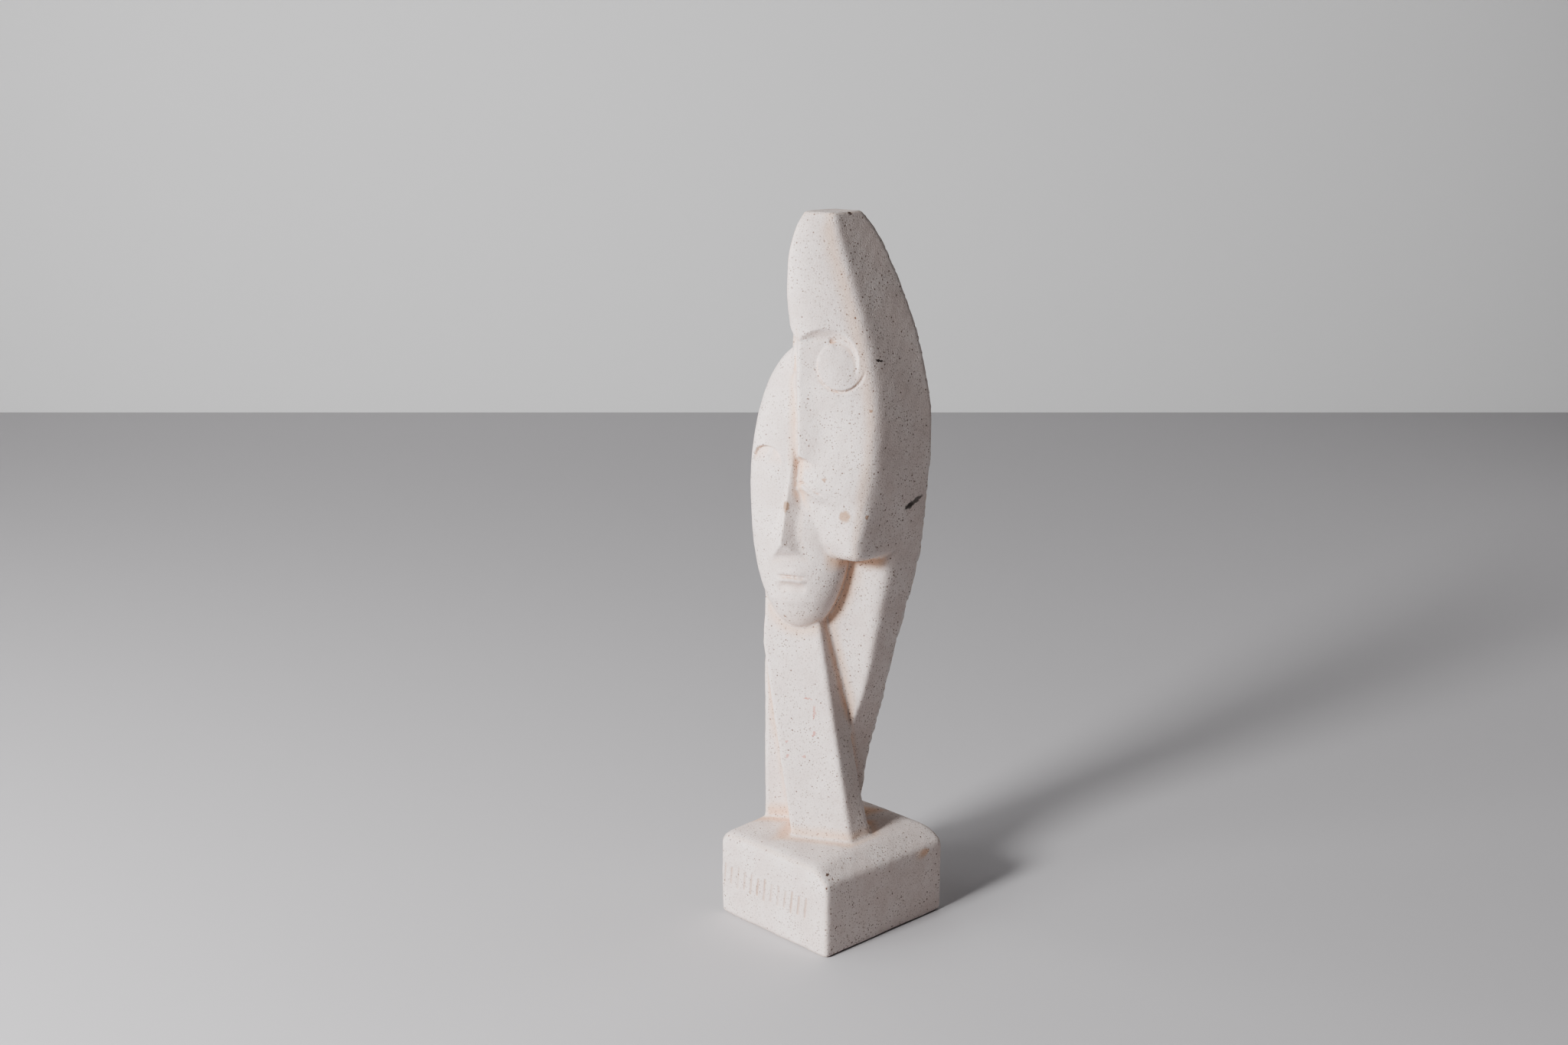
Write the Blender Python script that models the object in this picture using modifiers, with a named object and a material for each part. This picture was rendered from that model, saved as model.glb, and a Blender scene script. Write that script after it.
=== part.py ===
"""Cast stone sculpture: two stylised heads on one block plinth.

A tall head looks straight ahead over a lower one, which is turned a little and leans its brow
against the tall one's nose. Both stand on slab necks. Heads, necks and plinth are one casting,
so everything here is joined into one closed solid. Metres, +Z up, origin under the plinth's
middle; the plinth's lettered side faces -Y and the flat side of the tall head faces +X.
"""

import math

import bmesh
import bpy
import numpy as np
from mathutils import Matrix, Vector

NODE = "two_head_sculpture"
STONE_COLOUR = (0.69, 0.64, 0.60)
STONE_ROUGHNESS = 0.85

# Plinth
PLINTH_WIDTH = 0.072
PLINTH_DEPTH = 0.0787
PLINTH_HEIGHT = 0.0432
PLINTH_CORNER = 0.0028
PLINTH_EDGE_RIGHT = 0.0088
PLINTH_EDGE_FRONT = 0.0070
PLINTH_EDGE_BACK = 0.0055
PLINTH_EDGE_LEFT = 0.0055
ROOT_DEPTH = 0.006

# Levels of the tall figure, above the ground
TOTAL_HEIGHT = 0.3345
CAP_Z = 0.328
FOREHEAD_Z = 0.299
BROW_Z = 0.2800
CHEEK_Z = 0.236
JAW_Z = 0.1775
NECK_TOP_Z = 0.154
NECK_MID_Z = 0.112
NECK_LOW_Z = 0.074

# Tall head: distance of its flat sides from its middle plane
TALL_MIDDLE_X = -0.0033
TOP_HALF_WIDTH = 0.0087
FOREHEAD_HALF_WIDTH = 0.0177
CHEEK_HALF_WIDTH = 0.0248
NECK_TOP_HALF_WIDTH = 0.0196
NECK_MID_HALF_WIDTH = 0.0133
NECK_LOW_HALF_WIDTH = 0.0027
FOOT_HALF_WIDTH = -0.0015
NECK_LEFT_X = -0.0330

# Tall head: place of the edge between face and flat side, and how far the face bulges past it
TOP_EDGE_Y = -0.0055
FOREHEAD_EDGE_Y = -0.0010
CHEEK_EDGE_Y = 0.0078
JAW_EDGE_Y = 0.0000
TOP_BULGE = 0.0050
CAP_BULGE = 0.0100
FOREHEAD_BULGE = 0.0214
BROW_BULGE = 0.0216
CHEEK_BULGE = 0.0225
MOUTH_BULGE = 0.0220
CHIN_Z = 0.190
CHIN_BULGE = 0.0140
JAW_BULGE = 0.0072
JAW_LEDGE = 0.0035
TOP_SQUARENESS = 6.0
FACE_SQUARENESS = 2.2

# Tall figure: its back
TOP_BACK_Y = 0.0125
FOREHEAD_BACK_Y = 0.0295
HEAD_BACK_Y = 0.0390
NECK_BACK_Z = 0.134
NECK_BACK_Y = 0.0300
FOOT_BACK_Y = 0.0262
BACK_ROUND = 0.0012
SIDE_SPREAD = 0.0033
BACK_SQUARENESS = 6

# Turned frame of the necks and the lower head: s to its right, f out of its face
TURN = math.radians(30)
NECK_FRONT_F = -0.0049
SLAB_LEFT_S = -0.0342

# Lower head
LOWER_MIDDLE_S = -0.0155
LOWER_NOSE_S = -0.0170
LOWER_CENTRE_F = -0.003
LOWER_CHIN_Z = 0.1408
LOWER_WIDEST_Z = 0.208
LOWER_TOP_Z = 0.274
LOWER_HALF_WIDTH = 0.0251
LOWER_FACE_DEPTH = 0.0168
LOWER_BACK_DEPTH = 0.012
LOWER_LEFT_LIMIT_X = -0.0356
LOWER_CHIN_RECESS = 0.15
CHIN_ROUND = 0.6
EGG_POWER_UP = 1.9
EGG_POWER_DOWN = 2.4

# Slab neck of the lower head
SLAB_WIDTH = 0.0293
SLAB_FOOT_RIGHT_S = 0.0137
SLAB_FOOT_FRONT_F = 0.0176
SLAB_LEAN_SIDE = math.radians(10.6)
SLAB_LEAN_BACK = math.radians(8.7)
SLAB_FLARE = 0.0058
SLAB_HEEL = 0.018
SLAB_OVERLAP = 0.0006
SLAB_TOP_Z = 0.150
SLAB_EDGE = 0.0015

# Noses: wedges, whose base sinks in by the root and whose underside slopes down to it
NOSE_ROOT = 0.012
TALL_NOSE_RIDGE_Y = -0.0200
TALL_NOSE_TOP_Z = 0.284
TALL_NOSE_TIP_Z = 0.2262
TALL_NOSE_SPREAD = 0.0130
TALL_NOSE_DROP = 0.0088
LOWER_NOSE_TOP_Z = 0.218
LOWER_NOSE_TIP_Z = 0.1850
LOWER_NOSE_TOP_F = 0.0142
LOWER_NOSE_TIP_F = 0.0196
LOWER_NOSE_SPREAD = 0.0100
LOWER_NOSE_DROP = 0.0100

# Eyes: a scoop under each brow with a low dome in it; sizes are half lengths
TALL_SOCKET_OFFSET = 0.0122
TALL_SOCKET_Z = 0.2675
TALL_SOCKET_SIZE = (0.0142, 0.0062, 0.0155)
TALL_SOCKET_TILT = math.radians(-12)
TALL_EYE_OFFSET = 0.0160
TALL_EYE_Z = 0.2665
TALL_EYE_SIZE = (0.0112, 0.0050, 0.0112)
TALL_EYE_SINK = 0.0036
TALL_EYE_TURN = math.radians(45)
LOWER_EYE_OFFSET = 0.0145
LOWER_SOCKET_Z = 0.2160
LOWER_SOCKET_SIZE = (0.0095, 0.0030, 0.0120)
LOWER_SOCKET_TILT = math.radians(-9)
LOWER_EYE_Z = 0.2140
LOWER_EYE_SIZE = (0.0085, 0.0034, 0.0110)
LOWER_EYE_SINK = 0.0028
LOWER_EYE_TURN = math.radians(35)

# Mouths: a slit between two lips; lip sizes are half lengths
MOUTH_HEIGHT = 0.0010
MOUTH_DEPTH = 0.0026
TALL_MOUTH_Z = 0.2085
TALL_LIP_SIZE = (0.0085, 0.0019, 0.0034)
LOWER_MOUTH_Z = 0.1685
LOWER_LIP_SIZE = (0.0066, 0.0016, 0.0028)
LIP_SPACING = 1.4

# How finely the shapes are divided
RING_STEP = 0.0075
FACE_STEPS = 20
BACK_STEPS = 10
SIDE_STEPS = 3
LEDGE_STEPS = 3
HEAD_STEPS = 28
EGG_RINGS = 20
EGG_END_ANGLE = math.radians(12)
BALL_SEGMENTS = 20
BALL_RINGS = 12
BEVEL_STEPS = 3


def through(z, stations):
    """Smooth value at height z through (height, value) stations, with no overshoot."""
    heights, values = np.array(sorted(stations)).T
    gaps = np.diff(heights)
    grades = np.diff(values) / gaps
    slopes = np.zeros(len(values))
    slopes[0] = grades[0]
    slopes[-1] = grades[-1]
    for i in range(1, len(grades)):
        if grades[i - 1] * grades[i] > 0:
            slopes[i] = 2 / (1 / grades[i - 1] + 1 / grades[i])
    z = min(max(z, heights[0]), heights[-1])
    i = min(int(np.searchsorted(heights, z, side="right")) - 1, len(gaps) - 1)
    t = (z - heights[i]) / gaps[i]
    ends = values[i] * (1 - t) ** 2 * (1 + 2 * t) + values[i + 1] * t**2 * (3 - 2 * t)
    leans = gaps[i] * t * (1 - t) * (slopes[i] * (1 - t) - slopes[i + 1] * t)
    return float(ends + leans)


def ease(z, low, high):
    """0 at low and before it, 1 at high and past it, smooth between."""
    t = min(max((z - low) / (high - low), 0.0), 1.0)
    return t * t * (3 - 2 * t)


def turned(s, f, z):
    """Point at s, f in the turned frame."""
    x = s * math.cos(TURN) + f * math.sin(TURN)
    y = s * math.sin(TURN) - f * math.cos(TURN)
    return Vector((x, y, z))


def levels(low, high):
    """Even heights from low to high, about a ring step apart."""
    return np.linspace(low, high, round((high - low) / RING_STEP) + 1)


# The tall figure's profiles


def half_width(z):
    """Distance of the tall figure's flat right side from the head's middle plane."""
    foot = (PLINTH_HEIGHT, FOOT_HALF_WIDTH)
    neck_low = (NECK_LOW_Z, NECK_LOW_HALF_WIDTH)
    neck_mid = (NECK_MID_Z, NECK_MID_HALF_WIDTH)
    neck_top = (NECK_TOP_Z, NECK_TOP_HALF_WIDTH)
    cheek = (CHEEK_Z, CHEEK_HALF_WIDTH)
    forehead = (FOREHEAD_Z, FOREHEAD_HALF_WIDTH)
    top = (TOTAL_HEIGHT, TOP_HALF_WIDTH)
    return through(z, (foot, neck_low, neck_mid, neck_top, cheek, forehead, top))


def edge_y(z):
    """Place of the edge between the tall face and its flat side."""
    jaw = (JAW_Z, JAW_EDGE_Y)
    cheek = (CHEEK_Z, CHEEK_EDGE_Y)
    forehead = (FOREHEAD_Z, FOREHEAD_EDGE_Y)
    top = (TOTAL_HEIGHT, TOP_EDGE_Y)
    return through(z, (jaw, cheek, forehead, top))


def bulge(z):
    """How far the tall face stands out past its edges, on the middle plane."""
    jaw = (JAW_Z, JAW_BULGE)
    chin = (CHIN_Z, CHIN_BULGE)
    mouth = (TALL_MOUTH_Z, MOUTH_BULGE)
    cheek = (CHEEK_Z, CHEEK_BULGE)
    brow = (BROW_Z, BROW_BULGE)
    forehead = (FOREHEAD_Z, FOREHEAD_BULGE)
    cap = (CAP_Z, CAP_BULGE)
    top = (TOTAL_HEIGHT, TOP_BULGE)
    return through(z, (jaw, chin, mouth, cheek, brow, forehead, cap, top))


def back_y(z):
    """Place of the tall figure's back, at its right side."""
    foot = (NECK_LOW_Z, FOOT_BACK_Y)
    neck = (NECK_BACK_Z, NECK_BACK_Y)
    jaw = (JAW_Z, HEAD_BACK_Y)
    cheek = (CHEEK_Z, HEAD_BACK_Y)
    forehead = (FOREHEAD_Z, FOREHEAD_BACK_Y)
    top = (TOTAL_HEIGHT, TOP_BACK_Y)
    return through(z, (foot, neck, jaw, cheek, forehead, top))


def face_y(x, z):
    """Front of the tall head at x: a dome across the face, squarer towards the cut top."""
    squareness = through(z, ((FOREHEAD_Z, FACE_SQUARENESS), (TOTAL_HEIGHT, TOP_SQUARENESS)))
    share = min(abs(x - TALL_MIDDLE_X) / half_width(z), 1.0)
    return edge_y(z) - bulge(z) * (1 - share**squareness)


def neck_y(x):
    """Front plane of the tall figure's neck at x."""
    return x * math.tan(TURN) - NECK_FRONT_F / math.cos(TURN)


def tall_ring(z):
    """One level section of the tall figure, counterclockwise from its front left edge."""
    head = ease(z, JAW_Z - JAW_LEDGE, JAW_Z)
    skull = ease(z, NECK_TOP_Z, CHEEK_Z)
    right = TALL_MIDDLE_X + half_width(z)
    left = (1 - skull) * NECK_LEFT_X + skull * (TALL_MIDDLE_X - half_width(z))
    front = []
    for x in np.linspace(left, right, FACE_STEPS + 1):
        y = neck_y(x)
        if head > 0:
            y += head * (face_y(x, z) - y)
        front.append((x, y))
    # The back runs level behind the head and turns with the neck lower down
    slant = (1 - skull) * math.tan(TURN)
    back_right = back_y(z)
    back_left = back_right - slant * (right - left)
    spread = SIDE_SPREAD * skull * ease(z, TOTAL_HEIGHT, CHEEK_Z)
    back = []
    for share in np.linspace(0, 1, BACK_STEPS + 1):
        x = right + (left - right) * share + spread * (1 - 2 * share)
        y = back_right + (back_left - back_right) * share
        # Both back corners are rounded off by a squarish dome
        y -= BACK_ROUND * abs(2 * share - 1) ** BACK_SQUARENESS
        back.append((x, y))
    sides_right = straight(front[-1], back[0])
    sides_left = straight(back[-1], front[0])
    return [Vector((x, y, z)) for x, y in front + sides_right + back + sides_left]


def straight(start, stop):
    """Points of a flat side between its two ends, without the ends."""
    shares = np.linspace(0, 1, SIDE_STEPS + 1)[1:-1]
    return [tuple((1 - t) * a + t * b for a, b in zip(start, stop)) for t in shares]


# The lower head's egg


def egg_share(z):
    """Share of the lower head's full half width at height z."""
    if z > LOWER_WIDEST_Z:
        reach = (z - LOWER_WIDEST_Z) / (LOWER_TOP_Z - LOWER_WIDEST_Z)
        return max(1 - reach**EGG_POWER_UP, 0.0) ** (1 / EGG_POWER_UP)
    reach = (LOWER_WIDEST_Z - z) / (LOWER_WIDEST_Z - LOWER_CHIN_Z)
    return max(1 - reach**EGG_POWER_DOWN, 0.0) ** (1 / EGG_POWER_DOWN)


def egg_depth(z):
    """How far the lower face stands out of the egg's middle at height z."""
    if z > LOWER_WIDEST_Z:
        return LOWER_FACE_DEPTH * egg_share(z)
    reach = (LOWER_WIDEST_Z - z) / (LOWER_WIDEST_Z - LOWER_CHIN_Z)
    return LOWER_FACE_DEPTH * (1 - LOWER_CHIN_RECESS * reach**2)


def egg_ring(z):
    """One level section of the lower head, counterclockwise in the row's frame."""
    half = LOWER_HALF_WIDTH * egg_share(z)
    depth = egg_depth(z) * min(1.0, (egg_share(z) / CHIN_ROUND) ** 0.5)
    ring = []
    for i in range(HEAD_STEPS):
        angle = 2 * math.pi * i / HEAD_STEPS
        s = LOWER_MIDDLE_S + half * math.cos(angle)
        reach = depth if math.sin(angle) < 0 else LOWER_BACK_DEPTH * egg_share(z)
        point = turned(s, LOWER_CENTRE_F - reach * math.sin(angle), z)
        point.x = max(point.x, LOWER_LEFT_LIMIT_X)
        ring.append(point)
    return ring


def egg_point(offset, z):
    """Point of the lower face at a sideways offset from its middle, and height z."""
    share = min(abs(offset) / (LOWER_HALF_WIDTH * egg_share(z)), 1.0)
    f = LOWER_CENTRE_F + egg_depth(z) * math.sqrt(1 - share**2)
    return turned(LOWER_MIDDLE_S + offset, f, z)


# Making objects


def material(name, colour, roughness):
    stone = bpy.data.materials.new(name)
    stone.use_nodes = True
    shader = stone.node_tree.nodes["Principled BSDF"]
    shader.inputs["Base Color"].default_value = (*colour, 1.0)
    shader.inputs["Roughness"].default_value = roughness
    shader.inputs["Metallic"].default_value = 0.0
    return stone


def add_object(name, mesh, collection):
    thing = bpy.data.objects.new(name, mesh)
    collection.objects.link(thing)
    return thing


def loft(name, rings):
    """Closed mesh through level rings of equal count, bottom to top."""
    bm = bmesh.new()
    rows = [[bm.verts.new(point) for point in ring] for ring in rings]
    count = len(rows[0])
    for lower, upper in zip(rows, rows[1:]):
        for i in range(count):
            j = (i + 1) % count
            bm.faces.new((lower[i], lower[j], upper[j], upper[i]))
    bm.faces.new(reversed(rows[0]))
    bm.faces.new(rows[-1])
    # Four-sided faces of a loft aren't quite flat, and a Boolean wants flat ones
    bmesh.ops.triangulate(bm, faces=bm.faces)
    mesh = bpy.data.meshes.new(name)
    bm.to_mesh(mesh)
    bm.free()
    return mesh


def primitive_mesh(name, make):
    bm = bmesh.new()
    make(bm)
    mesh = bpy.data.meshes.new(name)
    bm.to_mesh(mesh)
    bm.free()
    return mesh


def box_mesh(name, size):
    def make(bm):
        bmesh.ops.create_cube(bm, size=1.0, matrix=Matrix.Diagonal((*size, 1.0)))

    return primitive_mesh(name, make)


def ball_mesh(name, radii):
    def make(bm):
        scale = Matrix.Diagonal((*radii, 1.0))
        bmesh.ops.create_uvsphere(
            bm, u_segments=BALL_SEGMENTS, v_segments=BALL_RINGS, radius=1.0, matrix=scale
        )

    return primitive_mesh(name, make)


class Joiner:
    """Joins and cuts helper shapes into one object with Boolean modifiers."""

    def __init__(self, body, helpers):
        self.body = body
        self.helpers = helpers

    def use(self, name, mesh, operation, location=(0, 0, 0), turn=0.0, tilt=0.0):
        shape = add_object(name, mesh, self.helpers)
        shape.location = location
        shape.rotation_euler = (tilt, 0, turn)
        shape.hide_render = True
        shape.display_type = "WIRE"
        boolean = self.body.modifiers.new(name, "BOOLEAN")
        boolean.operation = operation
        boolean.solver = "EXACT"
        boolean.object = shape
        return shape


# The pieces of the shape


def plinth_mesh():
    """Block with a broad bevel on its right top edge and smaller ones elsewhere."""
    mesh = box_mesh(NODE, (PLINTH_WIDTH, PLINTH_DEPTH, PLINTH_HEIGHT))
    mesh.transform(Matrix.Translation((0, 0, PLINTH_HEIGHT / 2)))
    weights = mesh.attributes.new("bevel_weight_edge", "FLOAT", "EDGE")
    for edge in mesh.edges:
        a, b = (mesh.vertices[i].co for i in edge.vertices)
        middle = (a + b) / 2
        width = 0.0
        if abs(a.z - b.z) > PLINTH_HEIGHT / 2:
            width = PLINTH_CORNER
        elif middle.z > PLINTH_HEIGHT / 2:
            if abs(middle.x) > PLINTH_WIDTH / 4:
                width = PLINTH_EDGE_RIGHT if middle.x > 0 else PLINTH_EDGE_LEFT
            else:
                width = PLINTH_EDGE_BACK if middle.y > 0 else PLINTH_EDGE_FRONT
        weights.data[edge.index].value = width / PLINTH_EDGE_RIGHT
    return mesh


def tall_figure_mesh():
    heights = list(levels(PLINTH_HEIGHT - ROOT_DEPTH, JAW_Z - JAW_LEDGE))
    heights += list(np.linspace(JAW_Z - JAW_LEDGE, JAW_Z, LEDGE_STEPS + 1))[1:]
    heights += list(levels(JAW_Z, TOTAL_HEIGHT))[1:]
    return loft("tall_figure", [tall_ring(z) for z in heights])


def lower_head_mesh():
    # Rings crowd towards both ends, where the egg closes
    middle = (LOWER_CHIN_Z + LOWER_TOP_Z) / 2
    half = (LOWER_TOP_Z - LOWER_CHIN_Z) / 2
    angles = np.linspace(EGG_END_ANGLE, math.pi - EGG_END_ANGLE, EGG_RINGS)
    return loft("lower_head", [egg_ring(middle - half * math.cos(a)) for a in angles])


def slab_neck_mesh():
    """Leaning slab from the plinth up into the lower head."""
    back = NECK_FRONT_F - ROOT_DEPTH
    flare_end = NECK_FRONT_F - SLAB_OVERLAP
    rings = []
    for z in levels(PLINTH_HEIGHT - ROOT_DEPTH, SLAB_TOP_Z):
        rise = z - PLINTH_HEIGHT
        right = SLAB_FOOT_RIGHT_S - rise * math.tan(SLAB_LEAN_SIDE)
        left = max(right - SLAB_WIDTH, SLAB_LEFT_S)
        front = SLAB_FOOT_FRONT_F - rise * math.tan(SLAB_LEAN_BACK)
        flare = SLAB_FLARE * (front - flare_end) / (SLAB_FOOT_FRONT_F - flare_end)
        near = ((left, front), (right, front), (right + flare, flare_end))
        far = ((right - SLAB_HEEL, back), (left, back))
        rings.append([turned(s, f, z) for s, f in near + far])
    return loft("slab_neck", rings)


def nose_mesh(name, tip, top, sideways, inward, spread, drop):
    """Wedge from the ridge's tip up to its top."""
    rings = []
    for ridge, fall in ((tip, drop), (top, 0.0)):
        base = ridge + inward * NOSE_ROOT - Vector((0, 0, fall))
        rings.append([ridge, base + sideways * spread, base - sideways * spread])
    return loft(name, rings)


def add_noses(join):
    tip = Vector((TALL_MIDDLE_X, TALL_NOSE_RIDGE_Y, TALL_NOSE_TIP_Z))
    top = Vector((TALL_MIDDLE_X, TALL_NOSE_RIDGE_Y, TALL_NOSE_TOP_Z))
    across = Vector((1, 0, 0))
    inward = Vector((0, 1, 0))
    name = "tall_nose"
    wedge = nose_mesh(name, tip, top, across, inward, TALL_NOSE_SPREAD, TALL_NOSE_DROP)
    join.use(name, wedge, "UNION")
    tip = turned(LOWER_NOSE_S, LOWER_NOSE_TIP_F, LOWER_NOSE_TIP_Z)
    top = turned(LOWER_NOSE_S, LOWER_NOSE_TOP_F, LOWER_NOSE_TOP_Z)
    across = turned(1, 0, 0)
    inward = turned(0, -1, 0)
    name = "lower_nose"
    wedge = nose_mesh(name, tip, top, across, inward, LOWER_NOSE_SPREAD, LOWER_NOSE_DROP)
    join.use(name, wedge, "UNION")


def add_tall_eyes(join):
    for name, side in (("right", 1), ("left", -1)):
        turn = side * TALL_EYE_TURN
        x = TALL_MIDDLE_X + side * TALL_SOCKET_OFFSET
        place = (x, face_y(x, TALL_SOCKET_Z), TALL_SOCKET_Z)
        scoop = ball_mesh(name, TALL_SOCKET_SIZE)
        join.use("tall_socket_" + name, scoop, "DIFFERENCE", place, turn, TALL_SOCKET_TILT)
        x = TALL_MIDDLE_X + side * TALL_EYE_OFFSET
        inward = Vector((-math.sin(turn), math.cos(turn), 0))
        place = Vector((x, face_y(x, TALL_EYE_Z), TALL_EYE_Z)) + inward * TALL_EYE_SINK
        join.use("tall_eye_" + name, ball_mesh(name, TALL_EYE_SIZE), "UNION", place, turn)


def add_lower_eye(join):
    """The lower face's free eye; the tall face covers the other one."""
    turn = TURN - LOWER_EYE_TURN
    place = egg_point(-LOWER_EYE_OFFSET, LOWER_SOCKET_Z)
    scoop = ball_mesh("lower_socket", LOWER_SOCKET_SIZE)
    join.use("lower_socket", scoop, "DIFFERENCE", place, turn, LOWER_SOCKET_TILT)
    inward = Vector((-math.sin(turn), math.cos(turn), 0))
    place = egg_point(-LOWER_EYE_OFFSET, LOWER_EYE_Z) + inward * LOWER_EYE_SINK
    join.use("lower_eye", ball_mesh("lower_eye", LOWER_EYE_SIZE), "UNION", place, turn)


def add_mouth(join, name, point, height, lip_size, turn):
    """Two lips and the slit between them; point gives the face's middle at a height."""
    for lip, side in (("upper_lip", 1), ("lower_lip", -1)):
        place = point(height + side * lip_size[2] * LIP_SPACING / 2)
        join.use(f"{name}_{lip}", ball_mesh(lip, lip_size), "UNION", place, turn)
    slit = box_mesh("mouth", (2 * lip_size[0], 2 * MOUTH_DEPTH, MOUTH_HEIGHT))
    join.use(name + "_mouth", slit, "DIFFERENCE", point(height), turn)


def tall_middle(z):
    return Vector((TALL_MIDDLE_X, face_y(TALL_MIDDLE_X, z), z))


def lower_middle(z):
    return egg_point(LOWER_NOSE_S - LOWER_MIDDLE_S, z)


def build():
    for thing in list(bpy.data.objects):
        bpy.data.objects.remove(thing)
    parts = bpy.data.collections.new("sculpture")
    helpers = bpy.data.collections.new("helpers")
    for collection in (parts, helpers):
        bpy.context.scene.collection.children.link(collection)
    body = add_object(NODE, plinth_mesh(), parts)
    body.data.materials.append(material("cast_stone", STONE_COLOUR, STONE_ROUGHNESS))
    bevel = body.modifiers.new("edges", "BEVEL")
    bevel.limit_method = "WEIGHT"
    bevel.width = PLINTH_EDGE_RIGHT
    bevel.segments = BEVEL_STEPS
    join = Joiner(body, helpers)
    join.use("tall_figure", tall_figure_mesh(), "UNION")
    add_tall_eyes(join)
    slab = join.use("slab_neck", slab_neck_mesh(), "UNION")
    edges = slab.modifiers.new("edges", "BEVEL")
    edges.limit_method = "ANGLE"
    edges.width = SLAB_EDGE
    edges.segments = BEVEL_STEPS
    join.use("lower_head", lower_head_mesh(), "UNION")
    add_lower_eye(join)
    add_noses(join)
    add_mouth(join, "tall", tall_middle, TALL_MOUTH_Z, TALL_LIP_SIZE, 0.0)
    add_mouth(join, "lower", lower_middle, LOWER_MOUTH_Z, LOWER_LIP_SIZE, TURN)


build()
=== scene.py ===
"""Fine surface, stone, light and camera for the cast stone sculpture of two heads.

The solid gives every main form. Here the same forms are written once more as one smooth field,
whose zero is the stone's surface, so that edges can be worn soft, creases filled a little, and
lids, lips, strokes and small marks worked in. The field is meshed, and then coloured.
"""

import math

import bmesh
import bpy
import numpy as np
from mathutils import Matrix, Vector


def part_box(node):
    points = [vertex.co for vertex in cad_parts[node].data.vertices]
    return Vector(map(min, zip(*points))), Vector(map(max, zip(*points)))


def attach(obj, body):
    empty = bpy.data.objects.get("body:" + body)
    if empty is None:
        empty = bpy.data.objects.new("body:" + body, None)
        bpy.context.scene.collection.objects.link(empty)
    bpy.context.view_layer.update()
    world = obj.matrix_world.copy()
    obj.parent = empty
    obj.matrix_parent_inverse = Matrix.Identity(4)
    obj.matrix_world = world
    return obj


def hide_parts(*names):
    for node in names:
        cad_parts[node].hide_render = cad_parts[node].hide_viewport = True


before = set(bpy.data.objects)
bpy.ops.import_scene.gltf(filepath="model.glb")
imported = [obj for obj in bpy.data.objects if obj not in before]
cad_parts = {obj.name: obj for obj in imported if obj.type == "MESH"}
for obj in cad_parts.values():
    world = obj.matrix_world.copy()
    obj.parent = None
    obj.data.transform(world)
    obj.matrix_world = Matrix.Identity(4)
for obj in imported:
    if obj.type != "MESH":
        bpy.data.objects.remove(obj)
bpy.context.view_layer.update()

NODE = "two_head_sculpture"
MM = 0.001

# Lengths from here on are in millimetres, in the frame of the solid

# The solid's far corner; its plinth is the widest thing on it and stands square on the origin
SOLID_HIGH = np.array(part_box(NODE)[1]) / MM
PLINTH_HALF_X, PLINTH_HALF_Y, TOTAL_HEIGHT = SOLID_HIGH
PLINTH_TOP = 43.2
BEVEL_Z = 35.8

# Net over the field, in cells of this size; is_carved and is_stroked say where it gets finer
NET_SPACING = 1.3
SETTLING_ROUNDS = 3
MOST_TRIANGLES = 200_000

# Tall figure
TALL_MIDDLE = -3.3
JAW_Z = 176.5
TURN = math.radians(30)
NECK_FRONT = -4.4
NECK_LEFT_X = -33.0
NECK_TOP_Z = 154.0
CHEEK_Z = 236.0
CROWN_Z = 299.0
FACE_ROUNDNESS = 1.6
NOSE_RIDGE_Y = -20.0
NOSE_FOOT_Z = 226.2
NOSE_TOP_Z = 280.0
EYE_ACROSS = 14.5
EYE_Z = 267.3
EYE_TURN = math.radians(41)
MOUTH_Z = 214.0

# Lower head and its slab neck
LOWER_MIDDLE = -15.5
LOWER_NOSE_LINE = -17.0
LOWER_CENTRE = -3.0
LOWER_CHIN_Z = 140.5
LOWER_WIDEST_Z = 208.0
LOWER_TOP_Z = 274.0
LOWER_HALF_WIDTH = 25.1
LOWER_DEPTH = 16.8
LOWER_BACK = 12.0
LOWER_LEFT_LIMIT = -35.6
LOWER_NOSE_FOOT_Z = 185.2
LOWER_NOSE_TOP_Z = 222.0
LOWER_EYE_Z = 222.0
LOWER_MOUTH_Z = 168.7
SLAB_FRONT = 17.6
SLAB_RIGHT = 13.9
SLAB_WIDTH = 29.3
SLAB_TOP_Z = 168.0
SLAB_LEAN_BACK = math.radians(8.7)
SLAB_LEAN_SIDE = math.radians(11.3)
SLAB_HEEL_DEPTH = 12.0
HEEL_TURN = math.radians(52)

# Strokes in the place of the inscription, all leaning the same way
STROKES = 13
STROKE_SPACING = 4.6
STROKE_LENGTHS = (9.5, 8.0, 10.5, 8.5)
FIRST_STROKE_X = -33.0
STROKE_Z = 20.5
STROKE_RADIUS = 0.7
STROKE_LEAN = math.radians(7)

# Camera: a 45 mm lens on a 36 mm sensor, looking down at the lower head
CAMERA_PLACE = Vector((618.1, -618.9, 407.9)) * MM
CAMERA_LENS_MM = 45.0
SENSOR_WIDTH_MM = 36.0
CAMERA_HEADING = math.radians(46.46)
CAMERA_PITCH = math.radians(-13.84)


# Field arithmetic: below zero is stone, above zero is air


def join(a, b, fillet):
    """Both shapes, with the crease between them filled over about the fillet's width."""
    near = np.maximum(fillet - np.abs(a - b), 0) / fillet
    return np.minimum(a, b) - near**3 * fillet / 6


def meet(a, b, wear):
    """What the shapes share, with the edge between them worn over about that width."""
    near = np.maximum(wear - np.abs(a - b), 0) / wear
    return np.maximum(a, b) + near**3 * wear / 6


def cut(a, tool, wear):
    """The first shape less the second, with the rim worn over about that width."""
    return meet(a, -tool, wear)


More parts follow.
